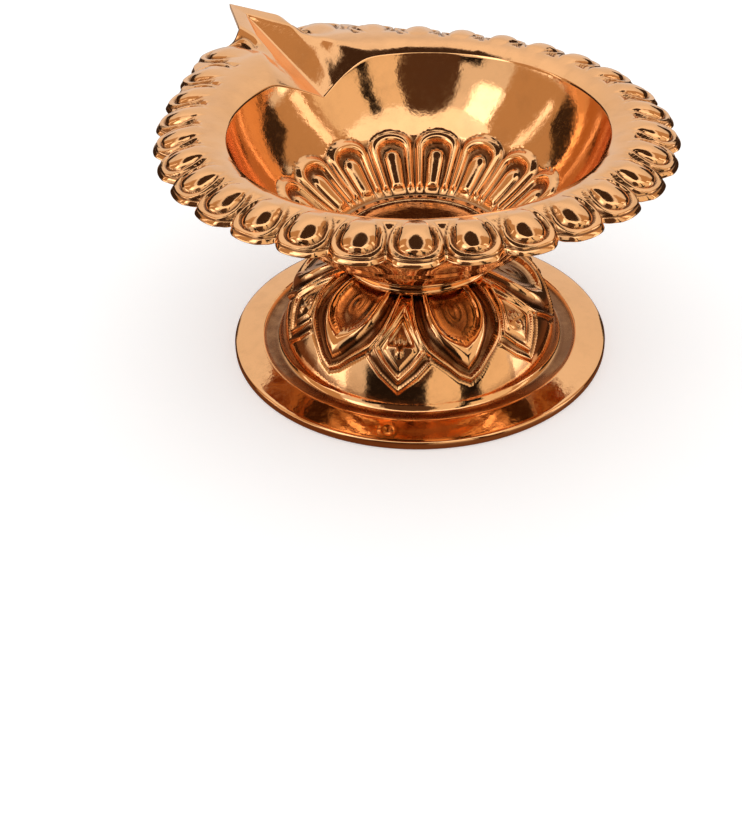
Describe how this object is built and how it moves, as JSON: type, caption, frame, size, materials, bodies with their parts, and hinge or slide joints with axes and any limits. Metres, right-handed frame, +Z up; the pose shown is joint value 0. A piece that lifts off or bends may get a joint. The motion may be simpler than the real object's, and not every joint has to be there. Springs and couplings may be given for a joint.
{
  "type": "oil lamp stand",
  "caption": "Small copper-finished oil lamp (diya): a shallow bowl with a scalloped rim and a pointed wick spout, on a domed lotus foot, held together by a hidden stud and nut.",
  "frame": {"origin": "middle of the bounding box, at its bottom, on the surface that the foot rests on; the axis of the turned pieces is 13.35 mm from it towards -Y", "axes": "+Z up out of the bowl, +Y towards the tip of the wick spout, +X to the right when the spout points away from the viewer"},
  "size_m": [0.1068, 0.1334, 0.0551],
  "materials": {
    "polished_copper": "polished copper plate, clear-lacquered, with slightly darker tone in the pressed lines",
    "fastener_steel": "zinc-plated, satin"
  },
  "bodies": {
    "root": {"base": "polished_copper", "collar": "polished_copper", "bowl": "polished_copper", "stud": "fastener_steel", "washer": "fastener_steel", "nut": "fastener_steel"}
  },
  "joints": []
}
